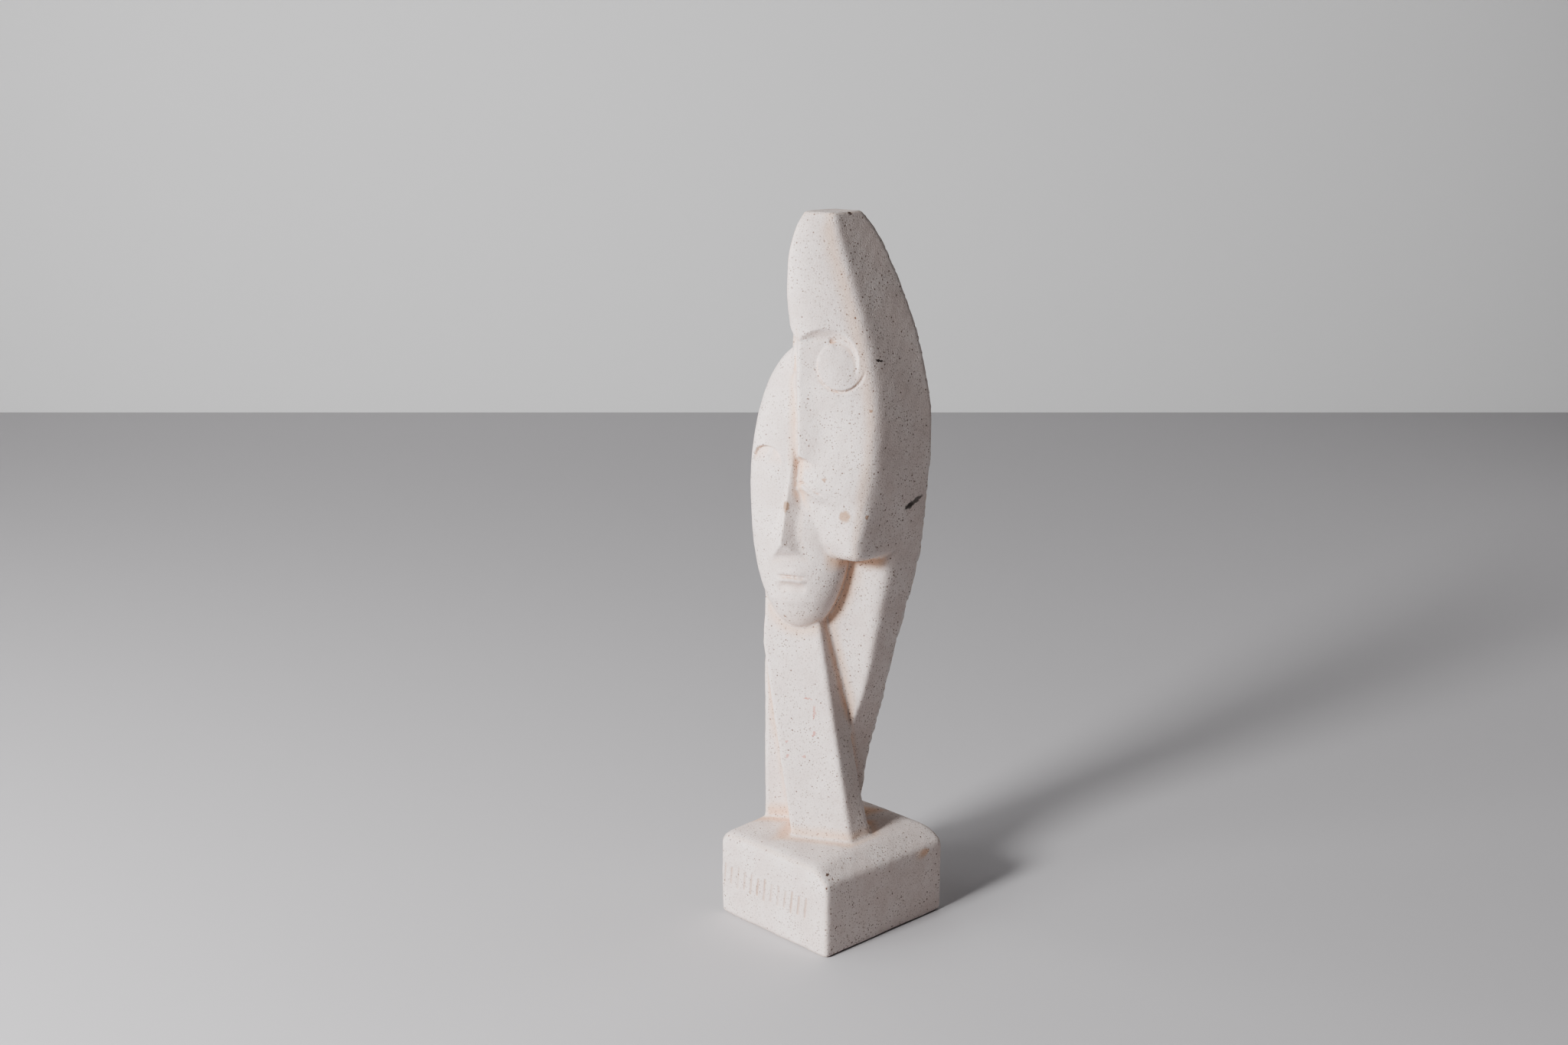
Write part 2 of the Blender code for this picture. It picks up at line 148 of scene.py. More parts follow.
def profile(z, stations):
    """Smooth values at heights z through (height, value) stations, with no overshoot."""
    heights, values = np.array(sorted(stations), dtype=float).T
    gaps = np.diff(heights)
    grades = np.diff(values) / gaps
    slopes = np.zeros(len(values))
    slopes[0] = grades[0]
    slopes[-1] = grades[-1]
    for i in range(1, len(grades)):
        if grades[i - 1] * grades[i] > 0:
            slopes[i] = 2 / (1 / grades[i - 1] + 1 / grades[i])
    z = np.clip(z, heights[0], heights[-1])
    i = np.clip(np.searchsorted(heights, z, side="right") - 1, 0, len(gaps) - 1)
    t = (z - heights[i]) / gaps[i]
    ends = values[i] * (1 - t) ** 2 * (1 + 2 * t) + values[i + 1] * t**2 * (3 - 2 * t)
    return ends + gaps[i] * t * (1 - t) * (slopes[i] * (1 - t) - slopes[i + 1] * t)


def ease(z, low, high):
    """Smooth step from 0 at low to 1 at high."""
    t = np.clip((z - low) / (high - low), 0, 1)
    return t * t * (3 - 2 * t)


def to_turned(x, y):
    """The lower head's frame: s to its right, f out of its face."""
    s = x * math.cos(TURN) + y * math.sin(TURN)
    f = x * math.sin(TURN) - y * math.cos(TURN)
    return s, f


# The forms


def plinth(x, y, z):
    """Loaf-like block: the top sags to its corners, the right edge is a broad bevel."""
    sag = 1.3 * np.abs(x / PLINTH_HALF_X) ** 3 + 1.3 * np.abs(y / PLINTH_HALF_Y) ** 3
    top = z - (PLINTH_TOP + 0.3 - sag)
    walls = meet(np.abs(x) - PLINTH_HALF_X, np.abs(y) - PLINTH_HALF_Y, 4.0)
    block = meet(walls, top, 8.0)
    bevel = 0.60 * (x - PLINTH_HALF_X) + 0.80 * (z - BEVEL_Z)
    block = meet(block, bevel, 3.0)
    return meet(block, -z, 2.2)


def half_width(z):
    """Distance of the tall figure's flat side from the head's middle."""
    low = ((43.2, -1.5), (74, 2.7), (112, 13.3), (154, 19.6), (180, 23.4))
    return profile(z, (*low, (CHEEK_Z, 28.1), (CROWN_Z, 18.7), (TOTAL_HEIGHT, 8.7)))


def face_edge(z):
    """Place of the edge between the tall face and its flat sides."""
    low = ((187, -6.5), (198, -4.0), (212, -1.4), (240, 0.8), (258, 1.6))
    return profile(z, (*low, (277, 0.8), (290, -0.6), (304, -3.4), (317, -5.0), (330, -5.9)))


def face_middle(z):
    """Foremost line of the tall face, from the chin up over the brow."""
    chin = ((177.5, -8.6), (182, -10.0), (186, -11.6), (190.5, -12.8), (196, -13.8), (203, -15.4))
    cheek = ((207, -16.8), (211, -17.4), (CHEEK_Z, -14.7), (267, -19.0), (280, -20.1))
    crown = ((CROWN_Z, -21.6), (313, -21.6), (328, -17.6), (TOTAL_HEIGHT, -12.4))
    return profile(z, (*chin, *cheek, *crown))


def face_breadth(x, z):
    """Distance from the face's foremost line, which leans left over the brow, to its edge."""
    shift = profile(z, ((260, 0.0), (280, -1.2), (CROWN_Z, -3.7), (313, -3.7), (334.5, -2.7)))
    half = np.maximum(half_width(z), 1.0)
    across = x - TALL_MIDDLE - shift
    return across, np.where(across > 0, half - shift, half + shift)


def face_share(x, z):
    """0 on the tall face's foremost line, 1 at its edge."""
    across, breadth = face_breadth(x, z)
    return np.minimum(np.abs(across) / breadth, 1.0)


def face_front(x, z):
    """Place of the tall face's surface, without its carving."""
    middle = face_middle(z)
    return middle + (face_edge(z) - middle) * face_share(x, z) ** FACE_ROUNDNESS


def face_slope(x, z):
    """How steeply the tall face runs back across its width."""
    rise = face_edge(z) - face_middle(z)
    return FACE_ROUNDNESS * rise / face_breadth(x, z)[1] * face_share(x, z) ** (FACE_ROUNDNESS - 1)


def tall_figure(x, y, z):
    """Tall head and its slab neck: flat sides, a leaning back, and a face with a jaw under it."""
    skull = ease(z, NECK_TOP_Z, CHEEK_Z)
    half = half_width(z)
    low_back = ((50, 25.0), (82, 27.0), (112, 27.5), (131, 30.5), (160, 36.5), (183, 39.2))
    high_back = ((CHEEK_Z, 39.2), (277, 34.6), (298, 28.8), (311, 24.3), (325, 18.5), (334.5, 11.5))
    back = profile(z, (*low_back, *high_back))
    right = x - TALL_MIDDLE - half
    left_x = (1 - skull) * NECK_LEFT_X + skull * (TALL_MIDDLE - half)
    left = left_x - x
    slant = (1 - skull) * math.tan(TURN)
    rear = (y - back + slant * (TALL_MIDDLE + half - x)) / np.sqrt(1 + slant**2)
    column = meet(meet(right, rear, 0.7), meet(left, rear, 7.0), 1.0)
    column = meet(column, z - TOTAL_HEIGHT, 2.0)
    face = (face_front(x, z) - y) / np.sqrt(1 + face_slope(x, z) ** 2)
    face = meet(face, JAW_Z - z, 12.0)
    neck = to_turned(x, y)[1] - NECK_FRONT + 0.8 * np.maximum(z - JAW_Z, 0)
    front = join(face, neck, 1.5)
    wear = profile(z, ((110, 2.0), (190, 8.0), (236, 6.0), (290, 3.0), (330, 1.5)))
    return meet(column, front, wear)


def tall_nose(x, y, z):
    """Long straight wedge, cut off sloping under its tip."""
    across = np.sqrt((x - TALL_MIDDLE) ** 2 + 0.7**2) - 0.5
    inward = y - NOSE_RIDGE_Y
    wedge = (12 * across - 13 * inward) / math.hypot(12, 13)
    under = (NOSE_FOOT_Z - 0.73 * inward - z) / math.hypot(1, 0.73)
    nose = meet(wedge, under, 1.2)
    nose = meet(nose, z - NOSE_TOP_Z, 7.0)
    return meet(nose, inward - 10, 1.0)


def lower_head(x, y, z):
    """Egg with its chin down, fuller in the chin than a plain egg."""
    s, f = to_turned(x, y)
    above = z > LOWER_WIDEST_Z
    height = np.where(above, LOWER_TOP_Z - LOWER_WIDEST_Z, LOWER_WIDEST_Z - LOWER_CHIN_Z)
    power = np.where(above, 1.9, 2.2)
    reach = np.abs(z - LOWER_WIDEST_Z) / height
    share = np.maximum(1 - np.minimum(reach, 1) ** power, 0) ** (1 / power)
    share = np.maximum(share, 0.25)
    full = (1 - 0.15 * reach**2) * np.minimum(1, (share / 0.7) ** 0.8) / share
    depth = np.where(above, LOWER_DEPTH, LOWER_DEPTH * full)
    depth = np.where(f > LOWER_CENTRE, depth, LOWER_BACK)
    across = (s - LOWER_MIDDLE) / LOWER_HALF_WIDTH
    out = (f - LOWER_CENTRE) / depth
    round_reach = np.sqrt(across**2 + out**2)
    whole = (round_reach**power + reach**power) ** (1 / power)
    steep = np.sqrt(
        (across / LOWER_HALF_WIDTH) ** 2 + (out / depth) ** 2 + (reach / height) ** 2
    )
    egg = whole * (whole - 1) / np.maximum(steep, 1e-6)
    # Hollow between the bridge of the nose and the tall face
    past_bridge = ease(s, LOWER_NOSE_LINE + 0.5, LOWER_NOSE_LINE + 4.5)
    hollow = 3.2 * past_bridge * ease(z, 190, 212) * ease(z, 232, 222) * (f > LOWER_CENTRE)
    return meet(egg + hollow, LOWER_LEFT_LIMIT - x, 4.0)


def lower_nose(x, y, z):
    """Wedge that stands out further and spreads as it comes down."""
    s, f = to_turned(x, y)
    ridge = 19.9 - 0.17 * (z - 182.8)
    # The ridge leans left as it comes down, so its right flank is the broad one
    aside = s - LOWER_NOSE_LINE + 3.0 * np.clip((217 - z) / 30, 0, 1)
    aside = np.where(aside > 0, 0.76, 1.25) * aside
    across = np.sqrt(aside**2 + 0.4**2) - 0.3
    inward = ridge - f
    wedge = (6 * across - 5 * inward) / math.hypot(6, 5)
    under = (LOWER_NOSE_FOOT_Z - 0.9 * inward - z) / math.hypot(1, 0.9)
    nose = meet(wedge, under, 1.0)
    nose = meet(nose, z - LOWER_NOSE_TOP_Z, 4.0)
    return meet(nose, inward - 12, 1.0)


def slab_neck(x, y, z):
    """Leaning slab under the lower head; its shaded side runs back to a heel, then to the neck."""
    s, f = to_turned(x, y)
    rise = z - PLINTH_TOP
    front = SLAB_FRONT - rise * math.tan(SLAB_LEAN_BACK)
    right = SLAB_RIGHT - rise * math.tan(SLAB_LEAN_SIDE)
    flare = profile(z, ((PLINTH_TOP, 0.55), (62, 0.42), (90, 0.34)))
    front_wall = (f - front) * math.cos(SLAB_LEAN_BACK)
    right_wall = (s - right - flare * (front - f)) / np.sqrt(1 + flare**2)
    left_wall = (np.maximum(right - SLAB_WIDTH, -33.3) - s) * math.cos(SLAB_LEAN_SIDE)
    heel_s = right + flare * SLAB_HEEL_DEPTH
    heel_f = front - SLAB_HEEL_DEPTH
    heel_x = heel_s * math.cos(TURN) + heel_f * math.sin(TURN)
    heel_y = heel_s * math.sin(TURN) - heel_f * math.cos(TURN)
    back_wall = (x - heel_x) * math.cos(HEEL_TURN) + (y - heel_y) * math.sin(HEEL_TURN)
    slab = meet(meet(front_wall, right_wall, 2.5), left_wall, 2.5)
    slab = meet(meet(slab, back_wall, 1.5), NECK_FRONT - 1.5 - f, 1.0)
    return meet(slab, z - SLAB_TOP_Z, 4.0)


def scene_field(x, y, z):
    """The whole sculpture."""
    tall = tall_figure(x, y, z)
    for side in (1, -1):
        tall = tall_eye(tall, x, y, z, side)
    tall = join(tall, tall_nose(x, y, z), 2.2)
    tall = tall_mouth(tall, x, y, z)
    lower = lower_eye(lower_head(x, y, z), x, y, z)
    lower = join(lower, lower_nose(x, y, z), 1.6)
    lower = lower_mouth(lower, x, y, z)
    stone = join(tall, slab_neck(x, y, z), 2.0)
    stone = join(stone, lower, 1.5)
    stone = join(stone, plinth(x, y, z), 3.0)
    stone = strokes(stone + unevenness(x, y, z), x, y, z)
    return np.maximum(stone, -z)


def unevenness(x, y, z):
    """Slow swells of a tenth of a millimetre or two, as a worn mould leaves them.

    They only take away, so the surface stays inside the solid's box.
    """
    swell = np.sin(x / 4.1 + 1.3 * np.sin(z / 9.0)) * np.sin(y / 5.3 + z / 7.1)
    ripple = np.sin(x / 1.7 + y / 2.3 + np.sin(z / 3.1)) * np.sin(z / 1.9 - y / 2.9)
    return 0.15 + 0.10 * swell + 0.05 * ripple


# Carving: each is a height over the surface, in the plane that faces out of it


def local(x, y, place, turn):
    """Offsets across and out of a spot on a face that is turned about the upright."""
    dx, dy = x - place[0], y - place[1]
    across = dx * math.cos(turn) + dy * math.sin(turn)
    out = dx * math.sin(turn) - dy * math.cos(turn)
    return across, out


def raised(stone, height, out, reach):
    """Lifts the surface by a height where it lies within reach of the carving's plane."""
    return stone - np.where(np.abs(out) < reach, height, 0.0)


def tall_eye(stone, x, y, z, side):
    """Shallow round scoop under the brow, and a flat round lid whose lower edge stands proud."""
    place = TALL_MIDDLE + side * EYE_ACROSS, float(face_front(TALL_MIDDLE + EYE_ACROSS, EYE_Z))
    across, out = local(x, y, place, side * EYE_TURN)
    across = side * across
    up = z - EYE_Z
    scoop_reach = np.hypot(across + 5.2, up - 1.5) / 15.2
    scoop = -4.6 * np.clip(1 - scoop_reach**3.4, 0, 1) * ease(up, -14, 6)
    lid_reach = np.hypot((across - 2.0) / 10.4, up / 10.8)
    lid = -0.02 * across - 0.17 * up - 1.0 + 0.8 * (1 - lid_reach**2)
    lid = lid - 40 * np.maximum(lid_reach - 1, 0)
    height = -join(-scoop, -lid, 0.4)
    foot = np.exp(-(((lid_reach - 1.05) / 0.05) ** 2)) * ease(up, -1, -7)
    height = height - 0.8 * foot
    return raised(stone, height, out, 9)


def tall_mouth(stone, x, y, z):
    """Lips that turn down from the middle, with a soft hollow under the lower one."""
    across = np.abs(x - TALL_MIDDLE)
    out = y - face_middle(210.0)
    up = z - (MOUTH_Z - 0.6 * np.sqrt(across**2 + 1))
    width = ease(across, 11.5, 7.0)
    height = 0.4 * np.exp(-(((up - 2.0) / 1.6) ** 2)) + 0.75 * np.exp(-(((up + 2.1) / 1.6) ** 2))
    height = height - 0.9 * np.exp(-((up / 0.45) ** 2)) - 0.7 * np.exp(-(((up + 6.5) / 3.0) ** 2))
    return raised(stone, height * width, out, 10)


def lower_eye(stone, x, y, z):
    """The lower face's free eye, sunk under a short arc; the tall face covers the other."""
    s, f = to_turned(x, y)
    across = s - LOWER_MIDDLE + 13.6
    up = z - LOWER_EYE_Z
    reach = np.hypot(across / 7.6, up / 6.6)
    height = -2.3 * ease(reach, 1.05, 0.93) * ease(up, -5.0, 5.0)
    return raised(stone, height, f - 8, 9)


def lower_mouth(stone, x, y, z):
    """Two short straight lips, with a soft hollow under them."""
    s, f = to_turned(x, y)
    across = s - LOWER_NOSE_LINE
    up = z - LOWER_MOUTH_Z + 0.012 * across**2
    width = ease(np.abs(across), 8.0, 4.5)
    height = 0.6 * np.exp(-(((up - 1.9) / 1.3) ** 2)) + 0.9 * np.exp(-(((up + 1.7) / 1.2) ** 2))
    height = height - 1.1 * np.exp(-((up / 0.5) ** 2)) - 0.8 * np.exp(-(((up + 5.2) / 2.0) ** 2))
    return raised(stone, height * width, f - 12, 7)


def strokes(stone, x, y, z):
    """Row of shallow strokes on the plinth's front: short bars, none of them a letter."""
    near = (y < -PLINTH_HALF_Y + 3) & (z < 34) & (z > 8)
    if not near.any():
        return stone
    carved = stone[near]
    px, py, pz = x[near], y[near], z[near]
    for i in range(STROKES):
        right, up = px - FIRST_STROKE_X - STROKE_SPACING * i, pz - STROKE_Z
        length = STROKE_LENGTHS[i % len(STROKE_LENGTHS)]
        along = right * math.sin(STROKE_LEAN) + up * math.cos(STROKE_LEAN)
        aside = right * math.cos(STROKE_LEAN) - up * math.sin(STROKE_LEAN)
        past = np.maximum(np.abs(along) - length / 2, 0)
        groove = np.sqrt(aside**2 + past**2 + (py + PLINTH_HALF_Y) ** 2) - STROKE_RADIUS
        carved = cut(carved, groove, 0.4)
    stone = stone.copy()
    stone[near] = carved
    return stone


# Meshing the field


def field_at(points):
    """Field at rows of (x, y, z)."""
    return scene_field(*points.T)


def surface_net():
    """Quad net over the field's zero: one point in each cell that the surface crosses."""
    low = np.array([-PLINTH_HALF_X, -PLINTH_HALF_Y, 0]) - 2 * NET_SPACING
    high = SOLID_HIGH + 2 * NET_SPACING
    axes = [np.arange(a, b + NET_SPACING, NET_SPACING) for a, b in zip(low, high)]
    grid = np.meshgrid(*axes, indexing="ij")
    field = scene_field(*[axis.ravel() for axis in grid]).reshape(grid[0].shape)
    sizes = np.array(field.shape)
    sums = np.zeros((*sizes, 3))
    counts = np.zeros(sizes)
    crossings = []
    for axis in range(3):
        step = np.eye(3, dtype=int)[axis]
        first = field[tuple(slice(0, n - s) for n, s in zip(sizes, step))]
        second = field[tuple(slice(s, n) for n, s in zip(sizes, step))]
        at = np.argwhere((first < 0) != (second < 0))
        a, b = first[tuple(at.T)], second[tuple(at.T)]
        where = at + step * (a / (a - b))[:, None]
        # The four cells round the edge, in turn
        u, v = np.eye(3, dtype=int)[(axis + 1) % 3], np.eye(3, dtype=int)[(axis + 2) % 3]
        cells = [at - u - v, at - v, at, at - u]
        for cell in cells:
            np.add.at(sums, tuple(cell.T), where)
            np.add.at(counts, tuple(cell.T), 1)
        crossings.append((cells, a < 0))
    used = counts > 0
    index = np.full(sizes, -1)
    index[used] = np.arange(used.sum())
    points = low + sums[used] / counts[used][:, None] * NET_SPACING
    quads = []
    for cells, outward in crossings:
        corners = np.stack([index[tuple(cell.T)] for cell in cells], 1)
        quads.append(np.where(outward[:, None], corners, corners[:, ::-1]))
    return points, np.concatenate(quads)


def settled(points, rounds):
    """Points moved onto the field's zero along its slope."""
    reach = 0.05
    for _ in range(rounds):
        value = field_at(points)
        slope = np.stack(
            [(field_at(points + step) - value) / reach for step in np.eye(3) * reach], 1
        )
        length = np.maximum((slope**2).sum(1), 0.25)
        move = (value / length)[:, None] * slope
        points = points - np.clip(move, -0.6, 0.6)
    return points


def mesh_from(points, quads):
    mesh = bpy.data.meshes.new("stone_surface")
    mesh.from_pydata((points * MM).tolist(), [], quads.tolist())
    mesh.validate()
    return mesh


def is_carved(centre):
    """Whether a spot, in millimetres, lies in the small carving."""
    x, y, z = centre
    s, f = to_turned(x, y)
    strokes_here = y < -PLINTH_HALF_Y + 2 and 13 < z < 29 and x < 30
    tall_face = f > 2 and 200 < z < 290 and y < 2
    lower_face = f > 5 and 156 < z < 232
    return strokes_here or tall_face or lower_face


def is_stroked(centre):
    """Whether a spot, in millimetres, lies in the strokes, which are the finest carving."""
    x, y, z = centre
    return y < -PLINTH_HALF_Y + 2 and 14 < z < 28 and x < 30


def refine(mesh, chosen):
    """Splits the faces at chosen spots in four."""
    bm = bmesh.new()
    bm.from_mesh(mesh)
    faces = [face for face in bm.faces if chosen(face.calc_center_median() / MM)]
    edges = list({edge for face in faces for edge in face.edges})
    bmesh.ops.subdivide_edges(bm, edges=edges, cuts=1, use_grid_fill=True)
    bm.to_mesh(mesh)
    bm.free()


def points_of(mesh):
    points = np.empty(len(mesh.vertices) * 3)
    mesh.vertices.foreach_get("co", points)
    return points.reshape(-1, 3) / MM


def set_points(mesh, points):
    mesh.vertices.foreach_set("co", (points * MM).ravel())
    mesh.update()


points, quads = surface_net()
mesh = mesh_from(settled(points, SETTLING_ROUNDS), quads)
refine(mesh, is_carved)
refine(mesh, is_stroked)
set_points(mesh, settled(points_of(mesh), 2))
triangles = sum(len(face.vertices) - 2 for face in mesh.polygons)
assert triangles < MOST_TRIANGLES


def add_shares(mesh):
    """Point values for the shader: how deep in a hollow and in a crease each point lies, for
    painted shade there, and how worn its edges are.
    """
    points = points_of(mesh)
    normals = np.empty(len(points) * 3)
    mesh.vertices.foreach_get("normal", normals)
    normals = normals.reshape(-1, 3)
    # Painted shade: how deep in a hollow a point lies, for a peach tint standing in for shade and
    # warm bounce light there
    painted_hollow_shade = 1 - field_at(points + 9 * normals) / 9
    # Painted shade: how deep in a crease a point lies, for a brown tint standing in for shade there
    painted_crease_shade = 1 - field_at(points + 1.2 * normals) / 1.2
    worn = 1 + field_at(points - 1.5 * normals) / 1.5
    for name, values in (("painted_hollow_shade", painted_hollow_shade), ("painted_crease_shade", painted_crease_shade), ("worn", worn)):
        attribute = mesh.attributes.new(name, "FLOAT", "POINT")
        attribute.data.foreach_set("value", np.clip(values, 0, 1))


add_shares(mesh)
sculpture = bpy.data.objects.new("cast_stone_sculpture", mesh)
bpy.context.scene.collection.objects.link(sculpture)
mesh.shade_smooth()
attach(sculpture, "root")
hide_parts(NODE)


def linear(hex_colour):
    """sRGB hex to a linear colour with alpha."""
    channels = [int(hex_colour[i : i + 2], 16) / 255 for i in (0, 2, 4)]
    return (*[c / 12.92 if c <= 0.04045 else ((c + 0.055) / 1.055) ** 2.4 for c in channels], 1.0)


def add_node(tree, kind, settings=None, links=None):
    """One node, with its properties, its socket values and what feeds its sockets."""
    node = tree.nodes.new(kind)
    for key, value in (settings or {}).items():
        if isinstance(key, str) and hasattr(node, key):
            setattr(node, key, value)
        else:
            node.inputs[key].default_value = value
    for socket, source in (links or {}).items():
        tree.links.new(source, node.inputs[socket])
    return node


# Chips, stains, a scratch and crayon traces seen in the photo: place, half lengths, tilt about X,
# strength and colour
MARKS = (
    ((15.2, -8.4, 199.2), (3.0, 2.6, 2.8), 0, 0.85, "BB9C85"),
    ((21.8, -0.6, 198.9), (1.0, 1.0, 0.9), 0, 0.7, "A98468"),
    ((7.4, -13.5, 215.7), (1.1, 1.1, 1.0), 0, 0.7, "B08A6E"),
    ((-8.0, -23.2, 202.4), (2.0, 1.9, 2.6), 0, 0.8, "A98A72"),
    ((22.8, 29.6, 201.2), (2.5, 6.6, 1.3), 24, 0.7, "403A35"),
    ((22.6, 26.6, 199.7), (2.5, 3.0, 1.4), 8, 0.6, "403A35"),
    ((21.3, 7.0, 269.2), (1.5, 3.0, 0.5), -14, 0.9, "4A413C"),
    ((-15.1, -16.8, 147.7), (1.0, 1.0, 0.9), 0, 0.8, "8A6A55"),
    ((14.9, -7.5, 269.8), (0.8, 0.8, 0.8), 0, 0.85, "7A5A48"),
    ((15.8, -3.4, 288.8), (0.8, 0.8, 0.7), 0, 0.8, "7A5A48"),
    ((22.5, 0.0, 247.5), (0.9, 0.9, 0.8), 0, 0.7, "9A7458"),
    ((31.7, -34.3, 39.0), (0.9, 0.9, 0.9), 0, 0.9, "5E4538"),
    ((35.4, -38.5, 34.4), (0.8, 0.8, 0.8), 0, 0.9, "5E4538"),
    ((5.6, 3.6, 333.6), (1.1, 1.1, 0.9), 0, 0.85, "5E4A42"),
    ((-5.0, -11.6, 108.7), (2.6, 2.0, 0.5), 0, 0.5, "C4664F"),
    ((-1.6, -10.9, 102.5), (0.6, 2.0, 3.6), 0, 0.45, "C4664F"),
    ((-0.6, -11.8, 92.6), (0.9, 2.0, 1.1), 0, 0.55, "BE5746"),
    ((-11.6, -19.1, 87.8), (0.9, 1.2, 0.7), 0, 0.5, "C4664F"),
    ((-10.2, -19.5, 81.1), (0.8, 1.2, 1.0), 0, 0.5, "C4664F"),
    ((-3.4, -15.5, 81.5), (1.2, 1.2, 0.6), 0, 0.5, "C4664F"),
    ((-0.4, -21.2, 291.5), (0.8, 1.2, 1.8), 0, 0.5, "D9B27A"),
)


def cast_stone():
    """Crushed limestone and white cement, cast in a mould and left bare, then handled for years.

    To the eye it is chalky and quite matt, a warm white with brown grains of aggregate scattered
    through it, whiter where edges are rubbed. Its hollows carry a peach tint of painted shade and
    warm bounce light, and its creases a brown tint of painted shade.
    """
    material = bpy.data.materials.new("cast_limestone")
    material.use_nodes = True
    tree = material.node_tree
    shader = tree.nodes["Principled BSDF"]
    shader.inputs["Roughness"].default_value = 0.92
    shader.inputs["IOR"].default_value = 1.5
    place = add_node(tree, "ShaderNodeTexCoord").outputs["Object"]

    def noise(size_mm, detail):
        settings = {"Scale": 1000 / size_mm, "Detail": detail, "Roughness": 0.6}
        return add_node(tree, "ShaderNodeTexNoise", settings, {"Vector": place}).outputs

    def share(value, low, high, top):
        settings = {"From Min": low, "From Max": high, "To Max": top}
        return add_node(tree, "ShaderNodeMapRange", settings, {"Value": value}).outputs["Result"]

    def product(a, b):
        return add_node(tree, "ShaderNodeMath", {"operation": "MULTIPLY"}, {0: a, 1: b}).outputs[0]

    def tinted(colour, amount, hex_colour):
        settings = {"Color2": linear(hex_colour)}
        links = {"Color1": colour, "Fac": amount}
        return add_node(tree, "ShaderNodeMixRGB", settings, links).outputs["Color"]

    def point_value(name):
        return add_node(tree, "ShaderNodeAttribute", {"attribute_name": name}).outputs["Fac"]

    def grains(spacing_mm, radius_mm, empty):
        """Round grains in cells of a spacing, with a share of the cells left empty."""
        settings = {"Scale": 1000 / spacing_mm}
        cells = add_node(tree, "ShaderNodeTexVoronoi", settings, {"Vector": place}).outputs
        reach = radius_mm / spacing_mm
        inside = share(cells["Distance"], reach, reach * 0.55, 1.0)
        return product(inside, share(cells["Color"], empty, empty + 0.02, 1.0))

    fine = noise(0.75, 3.0)["Fac"]
    broad = noise(14, 4.0)["Fac"]
    ragged_offset = add_node(
        tree,
        "ShaderNodeVectorMath",
        {"operation": "MULTIPLY_ADD", 1: (0.0026,) * 3, 2: (-0.0013,) * 3},
        {0: noise(1.6, 3.0)["Color"]},
    )
    ragged = add_node(
        tree, "ShaderNodeVectorMath", {"operation": "ADD"}, {0: place, 1: ragged_offset.outputs[0]}
    ).outputs[0]

    def mark(place_mm, half_mm, tilt_deg, amount):
        """Stain with uneven edges: a rounded blob by its half lengths, tilted about X."""
        settings = {
            "vector_type": "TEXTURE",
            "Location": tuple(v * MM for v in place_mm),
            "Rotation": (math.radians(tilt_deg), 0, 0),
            "Scale": tuple(v * MM for v in half_mm),
        }
        moved = add_node(tree, "ShaderNodeMapping", settings, {"Vector": ragged}).outputs[0]
        reach = add_node(tree, "ShaderNodeVectorMath", {"operation": "LENGTH"}, {0: moved})
        return share(reach.outputs["Value"], 1.15, 0.75, amount)

    colour = add_node(
        tree,
        "ShaderNodeMixRGB",
        {"Color1": linear("DDD0CB"), "Color2": linear("E6DCD8")},
        {"Fac": share(broad, 0.35, 0.65, 1.0)},
    ).outputs["Color"]
    # Painted shade and painted warm bounce light: peach in the hollows
    colour = tinted(colour, share(point_value("painted_hollow_shade"), 0.10, 0.6, 0.85), "E3C3AC")
    # Painted shade: brown in the creases
    colour = tinted(colour, share(point_value("painted_crease_shade"), 0.22, 0.75, 0.6), "B58D72")
    colour = tinted(colour, share(point_value("worn"), 0.12, 0.5, 0.6), "E4DEDB")
    colour = tinted(colour, share(fine, 0.5, 0.68, 0.28), "A8968B")
    # Real grains run down to a tenth of a millimetre, too fine to show here, so all are drawn
    # from 0.8 mm across
    colour = tinted(colour, product(grains(1.3, 0.4, 0.3), share(broad, 0.3, 0.6, 0.75)), "7F6454")
    colour = tinted(colour, share(grains(2.7, 0.5, 0.5), 0.0, 1.0, 0.85), "745B4D")
    for place_mm, half_mm, tilt, amount, hex_colour in MARKS:
        colour = tinted(colour, mark(place_mm, half_mm, tilt, amount), hex_colour)
    tree.links.new(colour, shader.inputs["Base Color"])
    rough = add_node(
        tree,
        "ShaderNodeMath",
        {"operation": "SUBTRACT"},
        {0: fine, 1: product(grains(2.3, 0.5, 0.4), share(broad, 0.2, 0.6, 1.0))},
    ).outputs[0]
    bump = add_node(
        tree, "ShaderNodeBump", {"Strength": 0.55, "Distance": 0.00035}, {"Height": rough}
    )
    tree.links.new(bump.outputs["Normal"], shader.inputs["Normal"])
    return material


mesh.materials.append(cast_stone())


def painted(name, hex_colour):
    """Matt paint for the stage."""
    material = bpy.data.materials.new(name)
    material.use_nodes = True
    shader = material.node_tree.nodes["Principled BSDF"]
    shader.inputs["Base Color"].default_value = linear(hex_colour)
    shader.inputs["Roughness"].default_value = 0.9
    return material


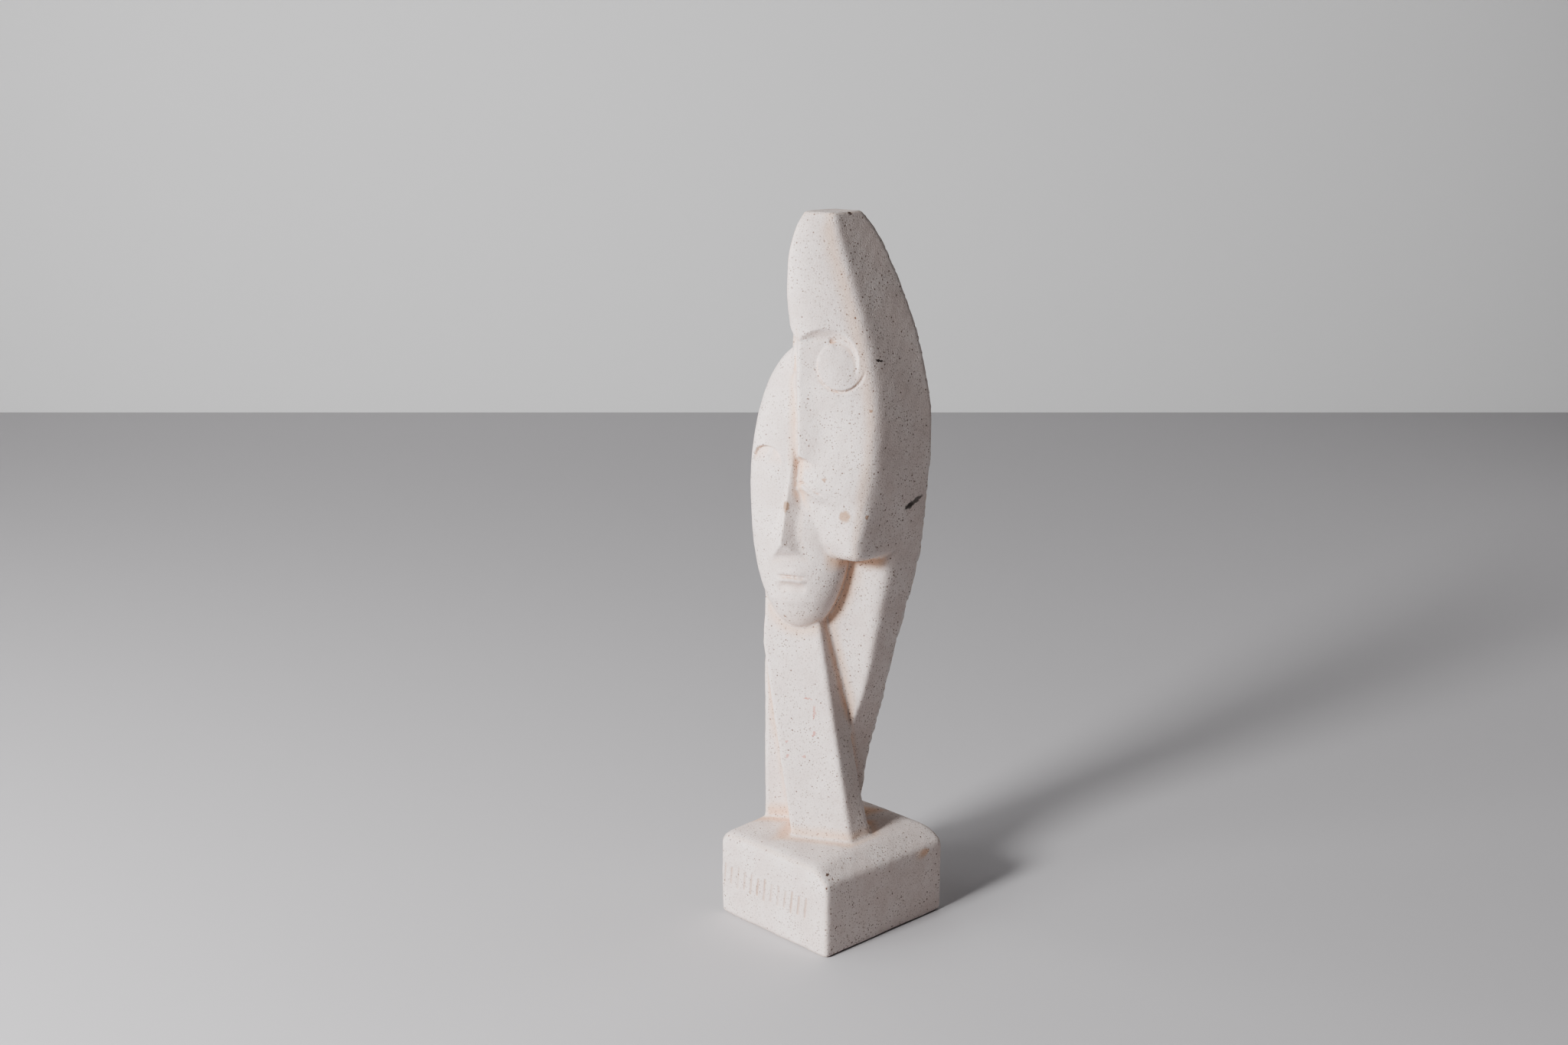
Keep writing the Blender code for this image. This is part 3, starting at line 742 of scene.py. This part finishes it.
def stage_plane(name, place, rotation, material):
    """Large square of the stage, in metres."""
    mesh = bpy.data.meshes.new(name)
    bm = bmesh.new()
    bmesh.ops.create_grid(bm, size=0.5, matrix=Matrix.Diagonal((STAGE_SIZE, STAGE_SIZE, 1, 1)))
    bm.to_mesh(mesh)
    bm.free()
    plane = bpy.data.objects.new(name, mesh)
    bpy.context.scene.collection.objects.link(plane)
    plane.location = place
    plane.rotation_euler = rotation
    mesh.materials.append(material)


STAGE_SIZE = 8
LIGHT_AIM = Vector((0, 0, 0.17))
CAMERA_FLAT = Vector((-math.sin(CAMERA_HEADING), math.cos(CAMERA_HEADING), 0))
# Far enough back that the sculpture can also be looked at from behind
WALL_DISTANCE = 1.3
stage_plane("floor", (0, 0, 0), (0, 0, 0), painted("matt_floor_paint", "CBC9CB"))
stage_plane(
    "wall",
    CAMERA_FLAT * WALL_DISTANCE,
    (math.pi / 2, 0, CAMERA_HEADING),
    painted("matt_wall_paint", "F0F0F0"),
)


def area_light(name, place, size, power):
    """Round white light of a power in watts, aimed at the sculpture's middle, in metres."""
    light = bpy.data.lights.new(name, "AREA")
    light.shape = "DISK"
    light.size = size
    light.energy = power
    lamp = bpy.data.objects.new(name, light)
    bpy.context.scene.collection.objects.link(lamp)
    lamp.location = place
    aim = LIGHT_AIM - Vector(place)
    lamp.rotation_euler = aim.to_track_quat("-Z", "Y").to_euler()


area_light("key", (0.04, -1.41, 0.76), 0.34, 20.5)
area_light("window", (-0.26, -1.37, 0.75), 0.9, 9)
area_light("room", (-0.94, -0.79, 1.06), 0.9, 3)
area_light("rear_window", (0.5, 1.1, 0.8), 0.9, 2)
bpy.context.scene.view_settings.look = "AgX - High Contrast"
world = bpy.data.worlds.new("room")
bpy.context.scene.world = world
world.use_nodes = True
world.node_tree.nodes["Background"].inputs["Color"].default_value = linear("FFFFFF")
world.node_tree.nodes["Background"].inputs["Strength"].default_value = 0.035

camera_data = bpy.data.cameras.new("camera")
camera_data.lens = CAMERA_LENS_MM
camera_data.sensor_width = SENSOR_WIDTH_MM
camera = bpy.data.objects.new("camera", camera_data)
bpy.context.scene.collection.objects.link(camera)
camera.location = CAMERA_PLACE
camera.rotation_euler = (math.pi / 2 + CAMERA_PITCH, 0, CAMERA_HEADING)
bpy.context.scene.camera = camera
